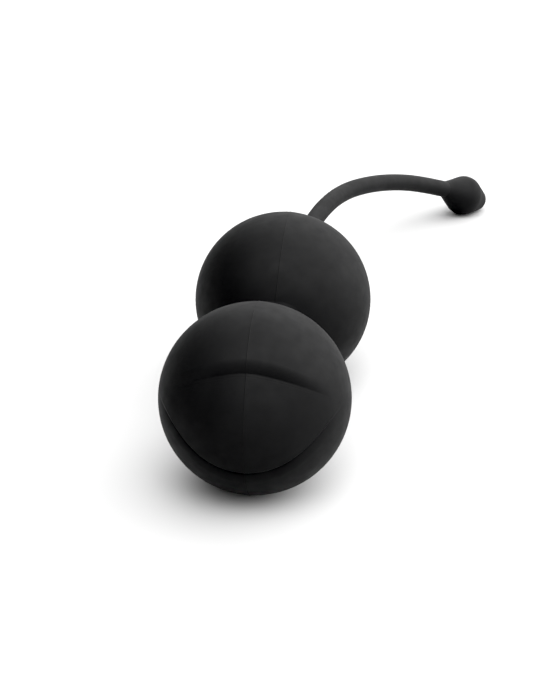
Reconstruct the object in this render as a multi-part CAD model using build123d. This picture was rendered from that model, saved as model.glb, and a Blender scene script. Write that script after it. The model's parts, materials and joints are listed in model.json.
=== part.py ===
from build123d import *
import os
from math import cos, pi, radians, sin, sqrt, tan

# A pair of weighted exercise balls in one silicone moulding, lying on a flat surface. Millimetres.
# The origin is on the surface, midway between the balls. +Y runs from the nose to the tail, +Z is up.

# balls
BALL_R = 18.0             # outside of the silicone skin
NECK_GAP = 12.0           # between the two balls, on their common axis
SKIN_T = 1.9
SHELL_T = 1.6             # hard core shell under the skin
WEIGHT_R = 9.525          # 3/4 inch steel ball
ROLL_CLEAR = 0.05         # between the weight and the shell it rolls in
LIP_H = 1.5               # spigot that joins the two core halves
LIP_T = 0.8

# cord inside the silicone, and the stops that hold its ends in the core shells
CORD_R = 0.6
STOP_R = 1.6
STOP_T = 0.8
STOP_SUNK = 0.1           # the stop's face lies this far below the cavity wall

# neck, in two links that flex against the balls and twist against each other
NECK_R = 4.5
NECK_FLEX_Y = 2.5         # flex centres, each side of the middle
TWIST_GAP = 0.2
SOCKET_CLEAR = 0.15       # between a link's round end and its socket

# groove along each edge of the raised panel on the front ball's nose
EDGE_DEPTH = 0.8
EDGE_WIDTH_DEG = 17.0     # width of the groove, as an angle at the ball's centre
UPPER_EDGE = {"tilt_deg": -24.0, "opening_deg": 64.0, "fade_deg": 75.0}
LOWER_EDGE = {"tilt_deg": 35.0, "opening_deg": 60.0, "fade_deg": 110.0}

# tail
STRAND_R = 1.95
ROOT_R = 2.6
ROOT_TIP_R = 2.1
ROOT_FLEX_AT = 2.0        # first flex centre, from the ball's surface along the tail
ROOT_LEN = 7.0            # second flex centre, from the ball's surface along the tail
FACE_BACK = 1.8           # a flexing end's flat face, behind the flex centre
BULB_R = 4.8
BULB_RIDGE_R = 4.1        # rounding of the bulb's widest place
BULB_SLOPE_DEG = 24.0     # of its shoulder and of its end
BULB_TIP_R = 2.9          # rounding of the tip
BULB_TILT_DEG = 25.7      # below the horizontal, more than the slope
BULB_TURN_DEG = 42.0      # from +Y towards +X
BEAD_R = 2.4
FLOOR_CLEAR = 0.02        # under the bulb

# derived sizes
BALL_Y = BALL_R + NECK_GAP / 2
CORE_R = BALL_R - SKIN_T
CAVITY_R = CORE_R - SHELL_T
ORBIT_R = CAVITY_R - WEIGHT_R - ROLL_CLEAR
LIP_R = CAVITY_R + LIP_T
SOCKET_R = NECK_R + SOCKET_CLEAR
ROOT_SOCKET_R = ROOT_R + SOCKET_CLEAR
DIMPLE_R = STRAND_R + SOCKET_CLEAR
BULB_TILT = radians(BULB_TILT_DEG)
BULB_TURN = radians(BULB_TURN_DEG)

NOSE = Vector(0, -1, 0)
TAIL = Vector(0, 1, 0)
UP = Vector(0, 0, 1)
FRONT_BALL = Vector(0, -BALL_Y, BALL_R)
REAR_BALL = Vector(0, BALL_Y, BALL_R)
REAR_POLE = REAR_BALL + TAIL * BALL_R

# The bulb is a cone out from the strand, a rounded ridge, and a cone in to its rounded tip.
# It lies on the surface with its tip, so its tilt settles its height.
BULB_SLOPE = radians(BULB_SLOPE_DEG)
RIDGE_MID_R = BULB_R - BULB_RIDGE_R
RIDGE_EDGE_R = RIDGE_MID_R + BULB_RIDGE_R * cos(BULB_SLOPE)
RIDGE_HALF = BULB_RIDGE_R * sin(BULB_SLOPE)
BULB_SHOULDER = (RIDGE_EDGE_R - STRAND_R) / tan(BULB_SLOPE) + RIDGE_HALF
TIP_EDGE = BULB_SHOULDER + RIDGE_HALF + (RIDGE_EDGE_R - BULB_TIP_R * cos(BULB_SLOPE)) / tan(BULB_SLOPE)
TIP_CENTRE = TIP_EDGE - BULB_TIP_R * sin(BULB_SLOPE)
BULB_DIR = Vector(sin(BULB_TURN) * cos(BULB_TILT), cos(BULB_TURN) * cos(BULB_TILT), -sin(BULB_TILT))
BULB_NECK = Vector(29.3, 122.5, BULB_TIP_R + FLOOR_CLEAR + TIP_CENTRE * sin(BULB_TILT))
BULB_WIDEST = BULB_NECK + BULB_DIR * BULB_SHOULDER

# The tail's route: out of the rear ball's pole, over a low arch and down to the bulb's neck.
ROUTE = [
    REAR_POLE,
    Vector(1.2, 56.0, 19.6),
    Vector(3.4, 70.0, 20.7),
    Vector(7.0, 84.0, 20.1),
    Vector(12.3, 96.2, 18.0),
    Vector(18.3, 107.0, 15.0),
    Vector(24.2, 116.0, 11.4),
    BULB_NECK,
]
MID_RUN = 3               # the tail's middle flex is halfway along the run that starts at this point

ROOT_DIR = (ROUTE[1] - ROUTE[0]).normalized()
MID_DIR = (ROUTE[MID_RUN + 1] - ROUTE[MID_RUN]).normalized()
FLEX_SWAY = REAR_POLE + ROOT_DIR * ROOT_FLEX_AT
FLEX_LIFT = REAR_POLE + ROOT_DIR * ROOT_LEN
FLEX_CURL = (ROUTE[MID_RUN] + ROUTE[MID_RUN + 1]) * 0.5


def facing(origin, direction):
    """A place at origin whose own +Z runs along direction."""
    return Plane(origin=origin, z_dir=direction).location


def rod(radius, low, high):
    """A round rod on the Z axis between two heights."""
    return Pos(0, 0, low) * Cylinder(radius, high - low, align=(Align.CENTER, Align.CENTER, Align.MIN))


def round_end(radius):
    """The half of a sphere below the XY plane."""
    return Sphere(radius, arc_size1=-90, arc_size2=0, align=(Align.CENTER, Align.CENTER, Align.MAX))


def upper_half():
    """Everything of a ball above the XY plane."""
    return rod(BALL_R + 1, 0, BALL_R + 1)


# ball

def ball_skin(centre, sockets, grooves=()):
    """Silicone skin around one core, with a cord hole and a round socket for each neighbour."""
    skin = facing(centre, TAIL) * (Sphere(BALL_R) - Sphere(CORE_R))
    for direction, flex_centre, radius in sockets:
        skin -= facing(flex_centre, direction) * Sphere(radius)
        skin -= facing(centre, direction) * rod(CORD_R, CORE_R - 1, BALL_R + 1)
    for edge in grooves:
        skin -= edge_groove(centre, edge)
    return skin


def edge_groove(centre, edge):
    """Cutter for one edge of the nose panel: a steep wall, then a long easy run-out.

    It is turned about an axis set off from the ball's centre, so the groove is deepest on the
    ball's middle plane and fades out to nothing at fade_deg round the edge.
    """
    tilt = radians(edge["tilt_deg"])
    opening = radians(edge["opening_deg"])
    run_out = opening + radians(EDGE_WIDTH_DEG)
    fade = radians(edge["fade_deg"])
    offset = EDGE_DEPTH / (sin(opening) * (1 - cos(fade)))
    side = 1 if edge["tilt_deg"] < 0 else -1
    axis = NOSE * cos(tilt) + UP * sin(tilt)
    across = UP * (side * cos(tilt)) - NOSE * (side * sin(tilt))
    rim_r = BALL_R + offset * sin(opening)
    tool_r = rim_r + 3

    def at(angle, radius):
        return (radius * sin(angle), radius * cos(angle))

    middle = opening + 0.45 * (run_out - opening)
    profile = Polyline(at(run_out, rim_r), at(run_out, tool_r), at(opening, tool_r), at(opening, rim_r - EDGE_DEPTH))
    profile += ThreePointArc(
        at(opening, rim_r - EDGE_DEPTH), at(middle, rim_r - 0.42 * EDGE_DEPTH), at(run_out, rim_r)
    )
    ring = revolve(Plane.XZ * make_face(profile), Axis.Z)
    return facing(centre - across * offset, axis) * ring


def core_half(centre, direction, has_lip, has_cord):
    """Half of the hard shell, its pole towards direction. One half's lip fits the other's recess."""
    shell = Sphere(CORE_R) - Sphere(CAVITY_R)
    half = shell & upper_half()
    if has_lip:
        half += shell & rod(LIP_R, -LIP_H, 0)
    else:
        half -= rod(LIP_R, 0, LIP_H)
    if has_cord:
        half -= rod(CORD_R, CAVITY_R - 1, CORE_R + 1)
        half -= rod(STOP_R, CAVITY_R - 1, CAVITY_R + STOP_SUNK + STOP_T)
    return facing(centre, direction) * half


def cord_stop(centre, direction, flex_reach):
    """Crimped end of the cord, sunk in the shell's wall, and the cord as far as the socket."""
    face = CAVITY_R + STOP_SUNK
    stop = rod(STOP_R, face, face + STOP_T) + rod(CORD_R, face, flex_reach)
    return facing(centre, direction) * stop


def weight(centre):
    """The steel ball at rest at the bottom of its cavity."""
    return facing(centre - UP * ORBIT_R, TAIL) * Sphere(WEIGHT_R)


# neck

def neck_link(direction):
    """Half of the neck: a rod with a round end that sits in the ball's socket."""
    solid = rod(NECK_R, TWIST_GAP / 2, NECK_FLEX_Y)
    solid += Pos(0, 0, NECK_FLEX_Y) * Rot(180, 0, 0) * round_end(NECK_R)
    solid -= rod(CORD_R, 0, NECK_FLEX_Y + NECK_R)
    return facing(UP * BALL_R, direction) * solid


def neck_cord(direction):
    """The cord inside one neck link."""
    reach = NECK_FLEX_Y + sqrt(NECK_R**2 - CORD_R**2)
    return facing(UP * BALL_R, direction) * rod(CORD_R, TWIST_GAP / 2, reach)


# tail

def bend_radii(points):
    """The largest even arc that each corner's two runs leave room for."""
    radii = []
    for before, corner, after in zip(points, points[1:], points[2:]):
        run = min((corner - before).length, (after - corner).length)
        turn = radians((corner - before).get_angle(after - corner))
        radii.append(0.45 * run / tan(turn / 2))
    return radii


def strand_path(points):
    """Straight runs joined by tangent arcs."""
    return FilletPolyline(*points, radius=bend_radii(points))


def tube(path, radius):
    return sweep(Plane(origin=path @ 0, z_dir=path % 0) * Circle(radius), path=path)


def root_face():
    return ROOT_LEN - ROOT_FLEX_AT - FACE_BACK


def tail_root():
    """Short tapered link at the ball, round at one end and dished at the other."""
    solid = round_end(ROOT_R)
    solid += Cone(ROOT_R, ROOT_TIP_R, root_face(), align=(Align.CENTER, Align.CENTER, Align.MIN))
    solid -= Pos(0, 0, ROOT_LEN - ROOT_FLEX_AT) * Sphere(DIMPLE_R)
    solid -= rod(CORD_R, -ROOT_R, root_face())
    return facing(FLEX_SWAY, ROOT_DIR) * solid


def tail_root_cord():
    """The cord inside the root link, from its round end to its dished face."""
    face = ROOT_LEN - ROOT_FLEX_AT - DIMPLE_R
    return facing(FLEX_SWAY, ROOT_DIR) * rod(CORD_R, -sqrt(ROOT_R**2 - CORD_R**2), face)


def near_path():
    return strand_path([FLEX_LIFT] + ROUTE[1 : MID_RUN + 1] + [FLEX_CURL - MID_DIR * FACE_BACK])


def far_path():
    return strand_path([FLEX_CURL] + ROUTE[MID_RUN + 1 :])


def near_strand():
    """First half of the strand, dished at its far end for the second half to flex in."""
    path = near_path()
    solid = tube(path, STRAND_R) - tube(path, CORD_R)
    solid += facing(FLEX_LIFT, ROOT_DIR) * round_end(STRAND_R)
    return solid - Pos(*FLEX_CURL) * Sphere(DIMPLE_R)


def near_cord():
    return tube(near_path(), CORD_R) - Pos(*FLEX_CURL) * Sphere(DIMPLE_R)


def far_strand():
    """Second half of the strand, from its round end to the bulb's neck."""
    path = far_path()
    solid = tube(path, STRAND_R) - tube(path, CORD_R)
    return solid + facing(FLEX_CURL, MID_DIR) * round_end(STRAND_R)


def far_cord():
    """The cord in the second half, and on into the bulb as far as the bead."""
    into_bulb = rod(CORD_R, 0, BULB_SHOULDER) - Pos(0, 0, BULB_SHOULDER) * Sphere(BEAD_R)
    return tube(far_path(), CORD_R) + facing(BULB_NECK, BULB_DIR) * into_bulb


def tail_bulb():
    """Bulb at the end of the tail, hollow only for the cord and the bead."""
    ridge_start = (RIDGE_EDGE_R, BULB_SHOULDER - RIDGE_HALF)
    ridge_end = (RIDGE_EDGE_R, BULB_SHOULDER + RIDGE_HALF)
    tip_start = (BULB_TIP_R * cos(BULB_SLOPE), TIP_EDGE)
    outline = Polyline((0, TIP_CENTRE + BULB_TIP_R), (0, 0), (STRAND_R, 0), ridge_start)
    outline += CenterArc((RIDGE_MID_R, BULB_SHOULDER), BULB_RIDGE_R, -BULB_SLOPE_DEG, 2 * BULB_SLOPE_DEG)
    outline += Line(ridge_end, tip_start)
    outline += CenterArc((0, TIP_CENTRE), BULB_TIP_R, BULB_SLOPE_DEG, 90 - BULB_SLOPE_DEG)
    solid = revolve(Plane.XZ * make_face(outline), Axis.Z)
    solid -= rod(CORD_R, 0, BULB_SHOULDER)
    solid -= Pos(0, 0, BULB_SHOULDER) * Sphere(BEAD_R)
    return facing(BULB_NECK, BULB_DIR) * solid


def tail_bead():
    """Bead that the cord's far end is tied to."""
    return facing(BULB_WIDEST, BULB_DIR) * Sphere(BEAD_R)


# assembly

FRONT_FLEX = UP * BALL_R + NOSE * NECK_FLEX_Y
REAR_FLEX = UP * BALL_R + TAIL * NECK_FLEX_Y
NECK_STOP_REACH = BALL_Y - NECK_FLEX_Y - SOCKET_R
TAIL_STOP_REACH = (FLEX_SWAY - REAR_BALL).length - ROOT_SOCKET_R


def front_ball_parts():
    return {
        "front_ball_skin": ball_skin(
            FRONT_BALL, [(TAIL, FRONT_FLEX, SOCKET_R)], grooves=(UPPER_EDGE, LOWER_EDGE)
        ),
        "front_core_nose_half": core_half(FRONT_BALL, NOSE, has_lip=False, has_cord=False),
        "front_core_neck_half": core_half(FRONT_BALL, TAIL, has_lip=True, has_cord=True),
        "front_cord_stop": cord_stop(FRONT_BALL, TAIL, NECK_STOP_REACH),
        "front_weight": weight(FRONT_BALL),
    }


def rear_ball_parts():
    sockets = [(NOSE, REAR_FLEX, SOCKET_R), (TAIL, FLEX_SWAY, ROOT_SOCKET_R)]
    return {
        "rear_ball_skin": ball_skin(REAR_BALL, sockets),
        "rear_core_neck_half": core_half(REAR_BALL, NOSE, has_lip=True, has_cord=True),
        "rear_core_tail_half": core_half(REAR_BALL, TAIL, has_lip=False, has_cord=True),
        "rear_neck_cord_stop": cord_stop(REAR_BALL, NOSE, NECK_STOP_REACH),
        "rear_tail_cord_stop": cord_stop(REAR_BALL, TAIL, TAIL_STOP_REACH),
        "rear_weight": weight(REAR_BALL),
    }


def neck_parts():
    return {
        "neck_front_link": neck_link(NOSE),
        "neck_front_cord": neck_cord(NOSE),
        "neck_rear_link": neck_link(TAIL),
        "neck_rear_cord": neck_cord(TAIL),
    }


def tail_parts():
    return {
        "tail_root_link": tail_root(),
        "tail_root_cord": tail_root_cord(),
        "tail_near_strand": near_strand(),
        "tail_near_cord": near_cord(),
        "tail_far_strand": far_strand(),
        "tail_far_cord": far_cord(),
        "tail_end_bulb": tail_bulb(),
        "tail_end_bead": tail_bead(),
    }


def report_route():
    """Prints the strand's bends, and its volume against its section and length."""
    for name, points, path in (
        ("near", [FLEX_LIFT] + ROUTE[1 : MID_RUN + 1] + [FLEX_CURL], near_path()),
        ("far", [FLEX_CURL] + ROUTE[MID_RUN + 1 :], far_path()),
    ):
        radii = ", ".join(f"{r:.0f}" for r in bend_radii(points))
        runs = ", ".join(f"{(b - a).length:.1f}" for a, b in zip(points, points[1:]))
        ratio = tube(path, STRAND_R).volume / (pi * STRAND_R**2 * path.length)
        print(f"{name}: runs {runs}; radii {radii}; length {path.length:.1f}; volume ratio {ratio:.4f}")
    for name, place in (("sway", FLEX_SWAY), ("lift", FLEX_LIFT), ("curl", FLEX_CURL)):
        print(f"{name} centre {place.X:.3f} {place.Y:.3f} {place.Z:.3f}")
    print(f"bulb neck {BULB_NECK.X:.3f} {BULB_NECK.Y:.3f} {BULB_NECK.Z:.3f}, shoulder {BULB_SHOULDER:.3f}")


def main():
    os.makedirs("parts", exist_ok=True)
    for group in (front_ball_parts(), rear_ball_parts(), neck_parts(), tail_parts()):
        for name, solid in group.items():
            export_step(solid, f"parts/{name}.step")
    report_route()


main()
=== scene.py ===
import json
import math

import bpy
import numpy as np
from mathutils import Matrix, Vector


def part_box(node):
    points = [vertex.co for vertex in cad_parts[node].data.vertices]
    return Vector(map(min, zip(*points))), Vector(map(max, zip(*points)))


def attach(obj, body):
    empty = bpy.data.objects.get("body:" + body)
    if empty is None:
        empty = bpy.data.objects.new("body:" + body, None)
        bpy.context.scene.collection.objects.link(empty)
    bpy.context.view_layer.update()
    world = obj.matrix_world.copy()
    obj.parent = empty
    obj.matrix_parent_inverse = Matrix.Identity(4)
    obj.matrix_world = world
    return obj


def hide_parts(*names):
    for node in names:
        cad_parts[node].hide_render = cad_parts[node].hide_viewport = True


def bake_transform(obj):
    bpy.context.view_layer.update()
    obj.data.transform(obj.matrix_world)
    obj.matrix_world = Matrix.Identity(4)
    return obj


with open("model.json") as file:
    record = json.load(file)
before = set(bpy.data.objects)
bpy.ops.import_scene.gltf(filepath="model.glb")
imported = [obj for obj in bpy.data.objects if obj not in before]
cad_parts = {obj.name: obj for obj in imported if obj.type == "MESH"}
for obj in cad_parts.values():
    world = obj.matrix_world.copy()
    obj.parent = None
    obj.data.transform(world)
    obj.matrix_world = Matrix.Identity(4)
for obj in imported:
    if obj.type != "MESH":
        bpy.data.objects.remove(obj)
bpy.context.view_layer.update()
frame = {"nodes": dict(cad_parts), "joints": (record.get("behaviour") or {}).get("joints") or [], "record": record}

MM = 0.001
UP = Vector((0, 0, 1))

# ---------------------------------------------------------------- places from the frame, metres
JOINT_AT = {j["name"]: Vector(j["pos_m"]) for j in frame["joints"]}
FRONT_CENTRE = JOINT_AT["front_weight_roll"]
REAR_CENTRE = JOINT_AT["rear_weight_roll"]
BALL_R = FRONT_CENTRE.z


def width(node):
    low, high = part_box(node)
    return high.x - low.x


SKIN_INNER_R = width("front_core_nose_half") / 2
NECK_R = width("neck_rear_link") / 2

# ---------------------------------------------------------------- camera
CAMERA_AT = Vector((0.0448, -0.3910, 0.1909))
CAMERA_TILT = math.radians(23.66)      # below the horizontal
CAMERA_TURN = math.radians(6.4)        # from the balls' axis
CAMERA_LENS = 115.6                    # mm
CAMERA_SENSOR = 36                     # mm


def make_camera():
    camera = bpy.data.objects.new("camera", bpy.data.cameras.new("camera"))
    camera.data.lens = CAMERA_LENS
    camera.data.sensor_width = CAMERA_SENSOR
    camera.location = CAMERA_AT
    camera.rotation_euler = (math.pi / 2 - CAMERA_TILT, 0, CAMERA_TURN)
    bpy.context.scene.collection.objects.link(camera)
    bpy.context.scene.camera = camera


# ---------------------------------------------------------------- meshes
SHARP_FROM = math.radians(50)
SEAM_HALF = 0.11 * MM          # half the width of the flash line where the mould halves meet
SEAM_HEIGHT = 0.035 * MM


def smoothstep(x, low, high):
    t = np.clip((x - low) / (high - low), 0, 1)
    return t * t * (3 - 2 * t)


def rings_mesh(name, rings):
    """A closed skin over equal rings of points, with a pole point at each end."""
    count = len(rings[0])
    points = [rings[0].mean(axis=0)] + [p for ring in rings for p in ring] + [rings[-1].mean(axis=0)]
    last = len(points) - 1
    faces = []
    for k in range(count):
        after = (k + 1) % count
        faces.append((0, 1 + after, 1 + k))
        faces.append((last, last - count + k, last - count + after))
    for r in range(len(rings) - 1):
        low = 1 + r * count
        for k in range(count):
            after = (k + 1) % count
            faces.append((low + k, low + after, low + count + after, low + count + k))
    mesh = bpy.data.meshes.new(name)
    mesh.from_pydata([tuple(p) for p in points], [], faces)
    mesh.polygons.foreach_set("use_smooth", [True] * len(mesh.polygons))
    mesh.set_sharp_from_angle(angle=SHARP_FROM)
    piece = bpy.data.objects.new(name, mesh)
    bpy.context.scene.collection.objects.link(piece)
    return piece


def even_turns(count):
    return np.arange(count) * 2 * math.pi / count


def flash_line(across):
    """Share of the flash line's height at a distance across it."""
    return np.clip(1 - (across / SEAM_HALF) ** 2, 0, 1) ** 2


def swept_rings(centres, directions, radii, turns, ridge=0.0):
    """Round rings across a line, each starting from its top, with a fine ridge at top and bottom."""
    rings = []
    for centre, direction, radius in zip(centres, directions, radii):
        direction = Vector(direction).normalized()
        top = (UP - direction * direction.dot(UP)).normalized()
        side = top.cross(direction)
        ring = np.outer(np.cos(turns), top) - np.outer(np.sin(turns), side)
        raised = ridge * flash_line(np.sin(turns) * radius)
        rings.append(np.array(centre) + ring * (radius + raised)[:, None])
    return rings


# ---------------------------------------------------------------- balls
COLUMN_DEG = 1.25
# Finer columns beside the mould seam, in degrees from it.
SEAM_COLUMNS_DEG = (0.08, 0.17, 0.27, 0.39, 0.55, 0.8, 1.2, 1.8, 2.6, 3.6)
PLAIN_ROWS = 140
INSIDE_SIDES = 64
INSIDE_ROWS = 32
REAR_SEAM_LEAN_DEG = 3.0       # the rear ball's seam leans this much about the balls' axis
KEEL_HEIGHT = 0.07 * MM        # the two mould halves of a ball meet in a faint keel
KEEL_WIDTH = 1.7 * MM
PLAIN_R = BALL_R - KEEL_HEIGHT - SEAM_HEIGHT

# The nose has a panel with the outline of an eye: sunk under a soft brow along its upper edge,
# and standing over a soft hollow along its lower edge. Angles are at the ball's centre: a side
# angle from the nose, and a height angle above the ball's middle.
PANEL_MIDDLE_DEG = 7.3         # height of its middle line, at the nose
PANEL_RISE_DEG = 2.7           # the middle line's rise towards the corners
PANEL_RISE_OVER_DEG = (10, 60)  # side angles between which it rises
PANEL_HALF_DEG = 30.4          # half its height, at the nose
PANEL_CORNER_DEG = 64.0        # side angle of its corners
PANEL_POINTED = 1.2            # 1 gives parabolic edges, and more gives sharper corners
PANEL_TAIL_DEG = 6.0           # how softly its two edges run together there
BROW_DEPTH = 1.9 * MM
BROW_DEG = 10.5                # width of the brow's slope
BROW_CURVE = 1.7               # power of the slope, which steepens towards its foot
BROW_EDGE_DEG = 3.0            # width of the rounding at its foot
BROW_EDGE_LOW_DEG = -0.5       # where the rounding starts, above the panel's edge
BROW_LIP = 0.34                # share of the depth that the panel's edge stands up again
BROW_SINK_DEG = 55.0           # over this height the panel comes back up to the ball's surface
BROW_FADE_DEG = (20, 66)       # side angles between which it fades out
HOLLOW_DEPTH = 0.55 * MM
HOLLOW_DEG = 8.0               # width of the hollow's run-out
HOLLOW_CURVE = 1.8
HOLLOW_EDGE_DEG = 2.4          # width of the panel's wall above it
HOLLOW_FADE_DEG = (22, 78)


def panel_middle_deg(side_deg):
    return PANEL_MIDDLE_DEG + PANEL_RISE_DEG * smoothstep(abs(side_deg), *PANEL_RISE_OVER_DEG)


def panel_half_deg(side_deg):
    """Half the panel's height, running softly down to nothing past its corners."""
    inside = 1 - (side_deg / PANEL_CORNER_DEG) ** 2
    half = PANEL_HALF_DEG * (inside**PANEL_POINTED if inside > 0 else inside)
    return (half + math.hypot(half, PANEL_TAIL_DEG)) / 2


def brow(side_deg, above_edge_deg):
    """Depth near the panel's upper edge."""
    slope = (1 - np.clip(above_edge_deg / BROW_DEG, 0, 1)) ** BROW_CURVE
    edge_top_deg = BROW_EDGE_LOW_DEG + BROW_EDGE_DEG
    lip = BROW_LIP * (1 - smoothstep(above_edge_deg, BROW_EDGE_LOW_DEG, edge_top_deg))
    sunk = 1 - smoothstep(-above_edge_deg, 0, BROW_SINK_DEG)
    fade = 1 - smoothstep(abs(side_deg), *BROW_FADE_DEG)
    return BROW_DEPTH * fade * (slope - lip) * sunk


def hollow(side_deg, below_edge_deg):
    """Depth near the panel's lower edge."""
    wall = smoothstep(below_edge_deg, 0, HOLLOW_EDGE_DEG)
    run_out = (1 - np.clip((below_edge_deg - HOLLOW_EDGE_DEG) / HOLLOW_DEG, 0, 1)) ** HOLLOW_CURVE
    fade = 1 - smoothstep(abs(side_deg), *HOLLOW_FADE_DEG)
    return HOLLOW_DEPTH * fade * wall * run_out


def panel_relief(side_deg, heights_deg):
    """How far the nose's surface lies below the plain ball."""
    middle, half = panel_middle_deg(side_deg), panel_half_deg(side_deg)
    above = brow(side_deg, heights_deg - middle - half)
    return above + hollow(side_deg, middle - half - heights_deg)


def panel_rows(side_deg):
    """Row heights of one column, gathered where the panel's edges are steep."""
    middle, half = panel_middle_deg(side_deg), panel_half_deg(side_deg)
    low, top = middle - half, middle + half
    spans = [
        (-90, low - HOLLOW_EDGE_DEG - HOLLOW_DEG, 26),
        (low - HOLLOW_EDGE_DEG - HOLLOW_DEG, low - HOLLOW_EDGE_DEG, 24),
        (low - HOLLOW_EDGE_DEG, low, 14),
        (low, top - 1, 46),
        (top - 1, top + BROW_EDGE_DEG, 18),
        (top + BROW_EDGE_DEG, top + BROW_DEG, 24),
        (top + BROW_DEG, 90, 24),
    ]
    return np.concatenate([np.linspace(a, b, rows, endpoint=False) for a, b, rows in spans])[1:]


def plain_rows(side_deg):
    return np.linspace(-90, 90, PLAIN_ROWS + 1)[1:-1]


def no_relief(side_deg, heights_deg):
    return np.zeros_like(heights_deg)


def column_angles():
    """Side angles of a skin's columns, all the way round."""
    near = np.array(SEAM_COLUMNS_DEG)
    plain = np.arange(near[-1] + COLUMN_DEG, 180 - near[-1] - COLUMN_DEG / 2, COLUMN_DEG)
    half = np.concatenate([near, plain, 180 - near[::-1]])
    return np.concatenate([[0], half, [180], -half[::-1]])


def seam_height(across):
    """The faint keel where the mould halves meet, and the fine flash line on it."""
    keel = KEEL_HEIGHT * np.exp(-abs(across) / KEEL_WIDTH)
    return keel + SEAM_HEIGHT * flash_line(across)


def skin_rings(rows_of, relief_of):
    """A ball's outer surface round its own centre, as rings from the bottom to the top."""
    columns = []
    for side_deg in column_angles():
        heights_deg = rows_of(side_deg)
        height, side = np.radians(heights_deg), math.radians(side_deg)
        outward = np.stack(
            [np.cos(height) * math.sin(side), -np.cos(height) * math.cos(side), np.sin(height)], axis=1
        )
        radius = PLAIN_R - relief_of(side_deg, heights_deg)
        radius += seam_height(radius * outward[:, 0])
        columns.append(outward * radius[:, None])
    return list(np.swapaxes(np.array(columns), 0, 1))


def inside_rings():
    """The skin's inner wall, as rings from the top to the bottom, so that it faces inwards."""
    turns = even_turns(INSIDE_SIDES)
    around = np.stack([np.sin(turns), -np.cos(turns), 0 * turns], axis=1)
    heights = np.radians(np.linspace(90, -90, INSIDE_ROWS + 1)[1:-1])
    return [SKIN_INNER_R * (math.cos(h) * around + [0, 0, math.sin(h)]) for h in heights]


def join(piece, other):
    with bpy.context.temp_override(
        active_object=piece, selected_objects=[piece, other], selected_editable_objects=[piece, other]
    ):
        bpy.ops.object.join()


def finish_piece(piece):
    """Every moulded piece is of the same silicone."""
    piece.data.materials.clear()
    piece.data.materials.append(MATERIALS["silicone"])


def make_ball(name, centre, body, node, rows_of, relief_of, seam_lean_deg=0.0):
    """A ball's silicone skin with both its walls. seam_lean_deg turns the seam about the axis."""
    ball = rings_mesh(name, skin_rings(rows_of, relief_of))
    join(ball, rings_mesh(name + "_inside", inside_rings()))
    lean = Matrix.Rotation(math.radians(seam_lean_deg), 4, "Y")
    ball.data.transform(Matrix.Translation(centre) @ lean)
    finish_piece(ball)
    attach(ball, body)
    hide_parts(node)


def make_balls():
    make_ball("front_ball_moulding", FRONT_CENTRE, "front_ball", "front_ball_skin", panel_rows, panel_relief)
    make_ball(
        "rear_ball_moulding", REAR_CENTRE, "rear_ball", "rear_ball_skin", plain_rows, no_relief,
        seam_lean_deg=REAR_SEAM_LEAN_DEG,
    )


# ---------------------------------------------------------------- neck
NECK_FILLET_R = 4.0 * MM
NECK_MIDDLE = 0.4 * MM         # half the length of the ring that twists
NECK_SIDES = 96
NECK_SEAM_STEPS = (0.25, 0.5, 0.75, 1.0, 1.5)  # finer points beside the seam, in half widths of it
INTO_BALL = 1.2 * MM           # a flare runs on this far to its hidden end under the ball's surface
INTO_BALL_SLOPE = 0.6          # the fall of its radius over that length
TWIST_RINGS = 7


def seamed_turns():
    """Angles round the neck, finer beside the seam at its top and bottom."""
    fine = np.array(NECK_SEAM_STEPS) * SEAM_HALF / NECK_R
    plain = even_turns(NECK_SIDES)
    plain = plain[np.abs(np.sin(plain)) > np.sin(fine[-1]) * 1.5]
    fine = np.concatenate([-fine, [0], fine])
    return np.sort(np.concatenate([plain, fine % (2 * math.pi), fine + math.pi]))


def flare_profile(ball_distance, rod_r, fillet_r, start):
    """(distance from the flare's origin, radius) along a rod and its fillet into a ball."""
    reach = PLAIN_R + fillet_r
    fillet_up = rod_r + fillet_r
    fillet_at = ball_distance - math.sqrt(reach**2 - fillet_up**2)
    touch = math.atan2(ball_distance - fillet_at, fillet_up)
    profile = [(s, rod_r) for s in np.linspace(start, fillet_at, 12, endpoint=False)]
    for turn in np.linspace(0, touch, 20):
        profile.append((fillet_at + fillet_r * math.sin(turn), fillet_up - fillet_r * math.cos(turn)))
    last_s, last_r = profile[-1]
    return profile + [(last_s + INTO_BALL, last_r - INTO_BALL_SLOPE * INTO_BALL)]


def make_neck():
    turns = seamed_turns()
    middle = Vector((0, 0, BALL_R))
    for side, flex, ball, link in (
        (1, JOINT_AT["neck_sway"], "rear_ball", "neck_rear"),
        (-1, JOINT_AT["neck_nod"], "front_ball", "neck_front"),
    ):
        outward = Vector((0, side, 0))
        profile = flare_profile(REAR_CENTRE.y, NECK_R, NECK_FILLET_R, NECK_MIDDLE)
        centres = [middle + outward * s for s, r in profile]
        rings = swept_rings(centres, [outward] * len(profile), [r for s, r in profile], turns, SEAM_HEIGHT)
        piece = rings_mesh(link + "_moulding", rings)
        finish_piece(piece)
        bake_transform(piece)
        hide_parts(link + "_link")
    twist_end = Vector((0, NECK_MIDDLE, 0))
    centres = [middle + twist_end * s for s in np.linspace(1, -1, TWIST_RINGS)]
    directions = [-twist_end] * TWIST_RINGS
    rings = swept_rings(centres, directions, [NECK_R] * TWIST_RINGS, turns, SEAM_HEIGHT)
    ring = rings_mesh("neck_twist_moulding", rings)
    finish_piece(ring)
    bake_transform(ring)


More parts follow.
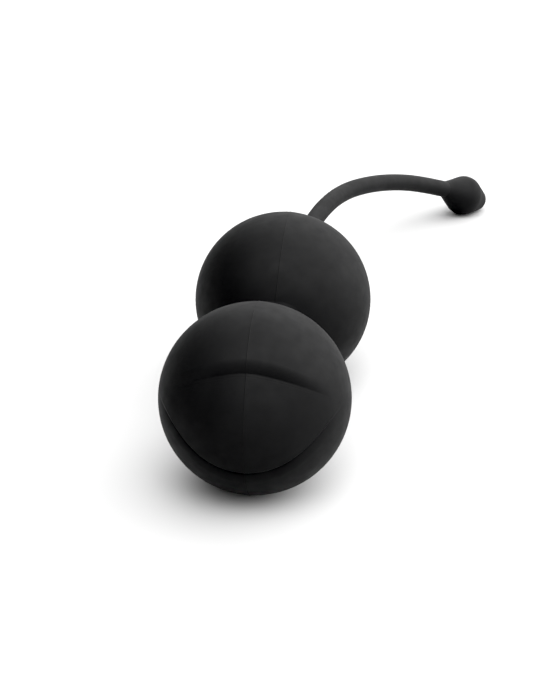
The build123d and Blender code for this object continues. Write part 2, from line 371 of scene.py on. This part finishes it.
# ---------------------------------------------------------------- tail
TAIL_ROUTE = [
    (0.0, 0.042, 0.018),
    (0.0012, 0.056, 0.0196),
    (0.0034, 0.070, 0.0207),
    (0.007, 0.084, 0.0201),
    (0.0123, 0.0962, 0.018),
    (0.0183, 0.107, 0.015),
    (0.0242, 0.116, 0.0114),
    (0.0293, 0.1225, 0.008035),
]
STRAND_D = 3.9 * MM
STRAND_STEP = 0.5 * MM
STRAND_SIDES = 48
DIRECTION_STEP = 1.5 * MM      # a direction is read between points this far either side
ROOT_FILLET_R = 3.5 * MM
# Distances either side of each flex centre at which the line is read; nothing uses those places.
ROOT_BEND_HALF = 1.8 * MM
LIFT_BEND_HALF = 2.4 * MM
CURL_BEND_HALF = 10.0 * MM
ROOT_END = 4.4 * MM            # along the tail, where the flare ends and the near strand starts
NEAR_LENGTH = 31.0 * MM        # from there to where the far strand starts
INTO_BULB = 0.8 * MM           # the bulb starts this far inside the strand's end

BULB_R = 4.8 * MM
BULB_RIDGE_R = 4.1 * MM        # rounding of the bulb's widest place
BULB_SLOPE = math.radians(24)  # of its shoulder and of its end
BULB_TIP_R = 2.9 * MM
BULB_NECK_SOFT = 0.5 * MM      # hollow rounding where the shoulder leaves the strand
BULB_NECK_SINK = 0.1 * MM      # its start lies this far under the strand's surface
BULB_TURN = 3.0 * MM           # past this it stands square to its own axis
BULB_SIDES = 72


def spline_points(route):
    """Points along the smooth line that has the route as its control points."""
    curve = bpy.data.curves.new("tail_line", "CURVE")
    curve.dimensions = "3D"
    curve.resolution_u = 40
    spline = curve.splines.new("NURBS")
    spline.points.add(len(route) - 1)
    for point, place in zip(spline.points, route):
        point.co = (*place, 1)
    spline.order_u = 3
    spline.use_endpoint_u = True
    line = bpy.data.objects.new("tail_line", curve)
    bpy.context.scene.collection.objects.link(line)
    bpy.context.view_layer.update()
    mesh = bpy.data.meshes.new_from_object(line)
    points = np.array([v.co for v in mesh.vertices])
    bpy.data.objects.remove(line)
    bpy.data.curves.remove(curve)
    bpy.data.meshes.remove(mesh)
    return points


class Line:
    """A smooth line, read by distance along it."""

    def __init__(self, points):
        self.points = points
        self.at = np.concatenate([[0], np.cumsum(np.linalg.norm(np.diff(points, axis=0), axis=1))])
        self.length = self.at[-1]

    def place(self, s):
        return Vector([np.interp(s, self.at, self.points[:, k]) for k in range(3)])

    def direction(self, s):
        before = self.place(max(s - DIRECTION_STEP, 0))
        after = self.place(min(s + DIRECTION_STEP, self.length))
        return (after - before).normalized()

    def nearest(self, place):
        return self.at[np.linalg.norm(self.points - np.array(place), axis=1).argmin()]


def bend_strand(piece, line, flex, half):
    """Bake the piece's placement into its mesh. The places half either side of the flex centre are read along the
    line, but nothing uses them.
    """
    at = line.nearest(flex)
    tuple(line.place(at - half))
    tuple(line.place(at + half))
    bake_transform(piece)


def make_strand(name, line, start, end, flex, bend_half, nodes):
    """One length of the tail's strand, from start to end along the line."""
    count = int((end - start) / STRAND_STEP)
    along = np.linspace(start, end, count)
    places = [line.place(s) for s in along]
    directions = [line.direction(s) for s in along]
    rings = swept_rings(places, directions, [STRAND_D / 2] * count, even_turns(STRAND_SIDES))
    strand = rings_mesh(name, rings)
    finish_piece(strand)
    bend_strand(strand, line, flex, bend_half)
    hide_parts(*nodes)
    return strand, [tuple(p) for p in places]


def make_tail_root(line):
    """Flare from the ball's surface out to the strand. Its centre line bends from the ball's
    radius to the strand's own direction."""
    radial = (line.place(ROOT_END) - REAR_CENTRE).normalized()
    profile = flare_profile(PLAIN_R + ROOT_END, STRAND_D / 2, ROOT_FILLET_R, 0)
    centres, directions, radii = [], [], []
    for back, radius in profile:
        s = ROOT_END - back
        on_radius = REAR_CENTRE + radial * (PLAIN_R + s)
        mix = float(smoothstep(s, 0, ROOT_END))
        centres.append(on_radius.lerp(line.place(max(s, 0)), mix))
        directions.append(-radial.lerp(line.direction(ROOT_END), mix))
        radii.append(radius)
    rings = swept_rings(centres, directions, radii, even_turns(STRAND_SIDES))
    root = rings_mesh("tail_root_moulding", rings)
    finish_piece(root)
    bend_strand(root, line, JOINT_AT["tail_sway"], ROOT_BEND_HALF)
    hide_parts("tail_root_link")
    return root


def bulb_profile():
    """(distance past the bulb's neck, radius): a shoulder cone, a rounded ridge, an end cone
    and a rounded tip. The neck's corner is softened."""
    rod = STRAND_D / 2
    sine, cosine, slope = math.sin(BULB_SLOPE), math.cos(BULB_SLOPE), math.tan(BULB_SLOPE)
    ridge_middle_r = BULB_R - BULB_RIDGE_R
    ridge_edge_r = ridge_middle_r + BULB_RIDGE_R * cosine
    tip_edge_r = BULB_TIP_R * cosine
    ridge_start = (ridge_edge_r - rod) / slope
    widest = ridge_start + BULB_RIDGE_R * sine
    ridge_end = widest + BULB_RIDGE_R * sine
    tip_edge = ridge_end + (ridge_edge_r - tip_edge_r) / slope
    profile = []
    for s in np.linspace(-INTO_BULB, ridge_start, 24, endpoint=False):
        rise = slope * s
        soft = BULB_NECK_SOFT * slope * smoothstep(s, -INTO_BULB, 0)
        sunk = BULB_NECK_SINK * (1 - smoothstep(s, -INTO_BULB, 0))
        profile.append((s, rod - sunk + (rise + math.hypot(rise, soft)) / 2))
    for turn in np.linspace(-BULB_SLOPE, BULB_SLOPE, 24, endpoint=False):
        s = widest + BULB_RIDGE_R * math.sin(turn)
        profile.append((s, ridge_middle_r + BULB_RIDGE_R * math.cos(turn)))
    for s in np.linspace(ridge_end, tip_edge, 8, endpoint=False):
        profile.append((s, ridge_edge_r - (s - ridge_end) * slope))
    for turn in np.linspace(BULB_SLOPE, math.pi / 2, 16, endpoint=False):
        s = tip_edge + BULB_TIP_R * (math.sin(turn) - sine)
        profile.append((s, BULB_TIP_R * math.cos(turn)))
    return profile


def make_bulb(line):
    """The bulb starts in line with the strand and turns to its own axis, through the bead's middle."""
    low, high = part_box("tail_end_bead")
    neck = line.place(line.length)
    strand_axis = line.direction(line.length)
    axis = ((Vector(low) + Vector(high)) / 2 - neck).normalized()
    centres, directions, radii = [], [], []
    for s, radius in bulb_profile():
        centres.append(neck + (axis if s > 0 else strand_axis) * s)
        directions.append(strand_axis.lerp(axis, float(smoothstep(s, -INTO_BULB, BULB_TURN))))
        radii.append(radius)
    rings = swept_rings(centres, directions, radii, even_turns(BULB_SIDES))
    bulb = rings_mesh("tail_bulb_moulding", rings)
    finish_piece(bulb)
    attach(bulb, "tail_far")
    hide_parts("tail_end_bulb")
    return bulb


def make_tail():
    line = Line(spline_points(TAIL_ROUTE))
    root = make_tail_root(line)
    bulb = make_bulb(line)
    near_end = ROOT_END + NEAR_LENGTH
    near, near_path = make_strand(
        "tail_near_moulding", line, ROOT_END, near_end,
        JOINT_AT["tail_lift"], LIFT_BEND_HALF, ["tail_near_strand"],
    )
    far, far_path = make_strand(
        "tail_far_moulding", line, near_end, line.length,
        JOINT_AT["tail_curl"], CURL_BEND_HALF, ["tail_far_strand"],
    )


# ---------------------------------------------------------------- materials
NOISE_ROUGHNESS = 0.55
NOISE_LOW = 0.3                # most of a noise lies between these two
NOISE_HIGH = 0.7
BRAID_TURN = 0.7               # radians, each way
BRAID_SCALE = 900


class Nodes:
    """A new material's node tree, with short ways to add to it."""

    def __init__(self, name):
        self.material = bpy.data.materials.new(name)
        self.material.use_nodes = True
        self.tree = self.material.node_tree
        self.shader = self.tree.nodes["Principled BSDF"]
        self.places = self.tree.nodes.new("ShaderNodeTexCoord").outputs["Object"]

    def set(self, **values):
        for name, value in values.items():
            self.shader.inputs[name.replace("_", " ")].default_value = value

    def link(self, output, target):
        self.tree.links.new(output, target)

    def noise(self, size, detail=4.0):
        """Noise whose features are about size metres across."""
        node = self.tree.nodes.new("ShaderNodeTexNoise")
        node.inputs["Scale"].default_value = 1 / size
        node.inputs["Detail"].default_value = detail
        node.inputs["Roughness"].default_value = NOISE_ROUGHNESS
        self.link(self.places, node.inputs["Vector"])
        return node.outputs["Fac"]

    def span(self, noise, low, high):
        """The usual range of a noise, spread from low to high."""
        node = self.tree.nodes.new("ShaderNodeMapRange")
        node.inputs["From Min"].default_value = NOISE_LOW
        node.inputs["From Max"].default_value = NOISE_HIGH
        node.inputs["To Min"].default_value = low
        node.inputs["To Max"].default_value = high
        self.link(noise, node.inputs["Value"])
        return node.outputs["Result"]

    def mix(self, factor, first, second):
        node = self.tree.nodes.new("ShaderNodeMix")
        node.data_type = "RGBA"
        node.inputs["A"].default_value = (*first, 1)
        node.inputs["B"].default_value = (*second, 1)
        self.link(factor, node.inputs["Factor"])
        return node.outputs["Result"]

    def bump(self, height, distance, below=None):
        """A relief of that depth in metres, on top of another one."""
        node = self.tree.nodes.new("ShaderNodeBump")
        node.inputs["Distance"].default_value = distance
        node.inputs["Strength"].default_value = 1.0
        self.link(height, node.inputs["Height"])
        if below:
            self.link(below, node.inputs["Normal"])
        return node.outputs["Normal"]

    def colour(self, output):
        self.link(output, self.shader.inputs["Base Color"])

    def roughness(self, output):
        self.link(output, self.shader.inputs["Roughness"])

    def normal(self, output):
        self.link(output, self.shader.inputs["Normal"])


def silicone():
    """Matt black silicone: a fine satin grain, with a faint cloudiness and faint handling marks."""
    n = Nodes("silicone_black")
    n.set(Specular_IOR_Level=0.2, IOR=1.41)
    cloudy = n.noise(9 * MM, detail=5)
    n.colour(n.mix(n.span(cloudy, 0, 1), (0.0056, 0.0056, 0.00582), (0.0074, 0.0074, 0.00762)))
    n.roughness(n.span(n.noise(2.6 * MM, detail=6), 0.6, 0.7))
    coarse = n.bump(n.noise(1.1 * MM, detail=3), 0.006 * MM)
    n.normal(n.bump(n.noise(0.22 * MM, detail=3), 0.004 * MM, below=coarse))
    return n.material


def moulded_plastic():
    """Pale moulded plastic of the core shells."""
    n = Nodes("core_plastic_pale")
    n.set(IOR=1.53)
    n.colour(n.mix(n.span(n.noise(6 * MM), 0, 1), (0.66, 0.66, 0.64), (0.74, 0.74, 0.72)))
    n.roughness(n.span(n.noise(1.5 * MM), 0.38, 0.5))
    n.normal(n.bump(n.noise(0.3 * MM), 0.006 * MM))
    return n.material


def ball_steel():
    """Polished steel of the weights, with faint tumbling marks."""
    n = Nodes("weight_steel")
    n.set(Metallic=1.0)
    n.colour(n.mix(n.span(n.noise(5 * MM), 0, 1), (0.55, 0.56, 0.58), (0.66, 0.67, 0.69)))
    n.roughness(n.span(n.noise(0.8 * MM, detail=6), 0.12, 0.26))
    n.normal(n.bump(n.noise(0.15 * MM), 0.001 * MM))
    return n.material


def braid():
    """Braided nylon, as two sets of fine crossing waves."""
    n = Nodes("cord_nylon")
    n.colour(n.mix(n.span(n.noise(0.5 * MM), 0, 1), (0.03, 0.03, 0.03), (0.07, 0.07, 0.07)))
    n.roughness(n.span(n.noise(0.4 * MM), 0.55, 0.75))
    below = None
    for turn in (BRAID_TURN, -BRAID_TURN):
        wave = n.tree.nodes.new("ShaderNodeTexWave")
        wave.inputs["Scale"].default_value = BRAID_SCALE
        mapping = n.tree.nodes.new("ShaderNodeMapping")
        mapping.inputs["Rotation"].default_value = (0, 0, turn)
        n.link(n.places, mapping.inputs["Vector"])
        n.link(mapping.outputs["Vector"], wave.inputs["Vector"])
        below = n.bump(wave.outputs["Fac"], 0.05 * MM, below=below)
    n.normal(below)
    return n.material


def stop_brass():
    """Crimped brass of the cord stops."""
    n = Nodes("stop_brass")
    n.set(Metallic=1.0)
    n.colour(n.mix(n.span(n.noise(1.2 * MM), 0, 1), (0.62, 0.46, 0.22), (0.76, 0.6, 0.34)))
    n.roughness(n.span(n.noise(0.4 * MM), 0.25, 0.42))
    return n.material


MATERIALS = {
    "silicone": silicone(),
    "core_plastic": moulded_plastic(),
    "weight_steel": ball_steel(),
    "cord_nylon": braid(),
    "stop_brass": stop_brass(),
}


def dress_cad_nodes():
    """The record's slot of each CAD node picks its material."""
    for part in frame["record"]["subparts"]:
        node = frame["nodes"][part["node"]]
        node.data.materials.clear()
        node.data.materials.append(MATERIALS[part["material_slot"]])


# ---------------------------------------------------------------- studio
FLOOR_SIZE = 30.0

# Soft light comes from five broad parts of the studio: (direction, sharpness, strength).
LIGHT_LOBES = [
    ((0.07, -0.5, 0.86), 8.0, 7.6),
    ((0.0, 0.5, 0.87), 8.0, 2.0),
    ((0.75, 0.43, 0.5), 8.0, 2.2),
    ((0.0, 0.87, 0.5), 8.0, 2.5),
    ((0.97, 0.1, 0.2), 4.0, 3.8),
]
BLACK_POINT = 0.0155           # the darkest tone that still shows


def floor_material():
    """Mid grey, which the strong light brings up to a plain white."""
    n = Nodes("studio_floor")
    n.set(Specular_IOR_Level=0.1)
    n.colour(n.mix(n.span(n.noise(0.2), 0, 1), (0.495, 0.495, 0.495), (0.505, 0.505, 0.505)))
    n.roughness(n.span(n.noise(0.05), 0.8, 0.9))
    return n.material


def make_floor():
    half = FLOOR_SIZE / 2
    corners = [(-half, -half, 0), (half, -half, 0), (half, half, 0), (-half, half, 0)]
    mesh = bpy.data.meshes.new("studio_floor")
    mesh.from_pydata(corners, [], [(0, 1, 2, 3)])
    mesh.materials.append(floor_material())
    floor = bpy.data.objects.new("studio_floor", mesh)
    bpy.context.scene.collection.objects.link(floor)


def make_light():
    """A world whose strength is the sum of soft lobes, each a power of the cosine from its middle."""
    world = bpy.data.worlds.new("studio")
    world.use_nodes = True
    tree = world.node_tree
    facing = tree.nodes.new("ShaderNodeTexCoord").outputs["Generated"]

    def maths(operation, first, second):
        node = tree.nodes.new("ShaderNodeMath")
        node.operation = operation
        tree.links.new(first, node.inputs[0])
        if isinstance(second, float):
            node.inputs[1].default_value = second
        else:
            tree.links.new(second, node.inputs[1])
        return node.outputs[0]

    total = None
    for direction, sharpness, strength in LIGHT_LOBES:
        dot = tree.nodes.new("ShaderNodeVectorMath")
        dot.operation = "DOT_PRODUCT"
        dot.inputs[1].default_value = Vector(direction).normalized()
        tree.links.new(facing, dot.inputs[0])
        lobe = maths("POWER", maths("MAXIMUM", dot.outputs["Value"], 0.0), sharpness)
        lobe = maths("MULTIPLY", lobe, strength)
        total = maths("ADD", lobe, total) if total else lobe
    background = tree.nodes["Background"]
    background.inputs["Color"].default_value = (1, 1, 1, 1)
    tree.links.new(total, background.inputs["Strength"])
    bpy.context.scene.world = world


def set_tones():
    """Plain tones, with the darkest few cut to black."""
    view = bpy.context.scene.view_settings
    view.view_transform = "Standard"
    view.use_curve_mapping = True
    view.curve_mapping.black_level = (BLACK_POINT, BLACK_POINT, BLACK_POINT)
    view.curve_mapping.update()


make_camera()
make_tail()
make_neck()
make_balls()
dress_cad_nodes()
make_light()
make_floor()
set_tones()
